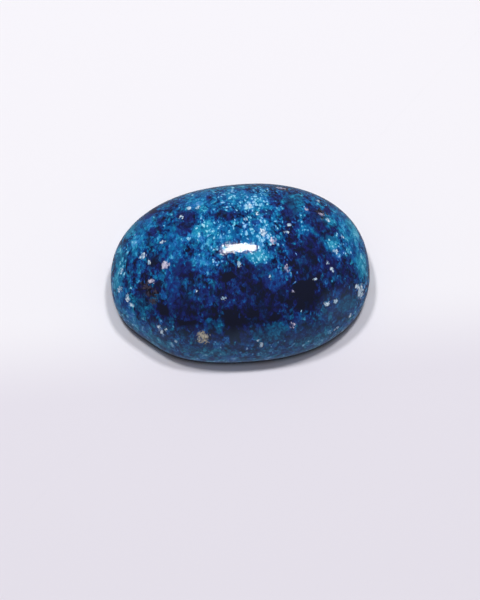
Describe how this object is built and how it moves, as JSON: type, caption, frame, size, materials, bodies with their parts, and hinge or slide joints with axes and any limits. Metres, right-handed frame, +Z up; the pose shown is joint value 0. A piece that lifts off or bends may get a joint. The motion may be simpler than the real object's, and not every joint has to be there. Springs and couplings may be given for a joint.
{
  "type": "lapis lazuli cabochon",
  "caption": "Polished oval cabochon of mottled blue lapis lazuli with a high dome, a steep wall and a flat base, to rest on a surface or sit in a bezel.",
  "frame": {"origin": "middle of the flat base, under the centre of the stone's box", "axes": "+X along the oval's long axis, +Y along its short axis, +Z up from the base through the dome"},
  "size_m": [0.018, 0.013, 0.007],
  "materials": {
    "lapis_lazuli": "polished"
  },
  "bodies": {
    "root": {"stone": "lapis_lazuli"}
  },
  "joints": []
}
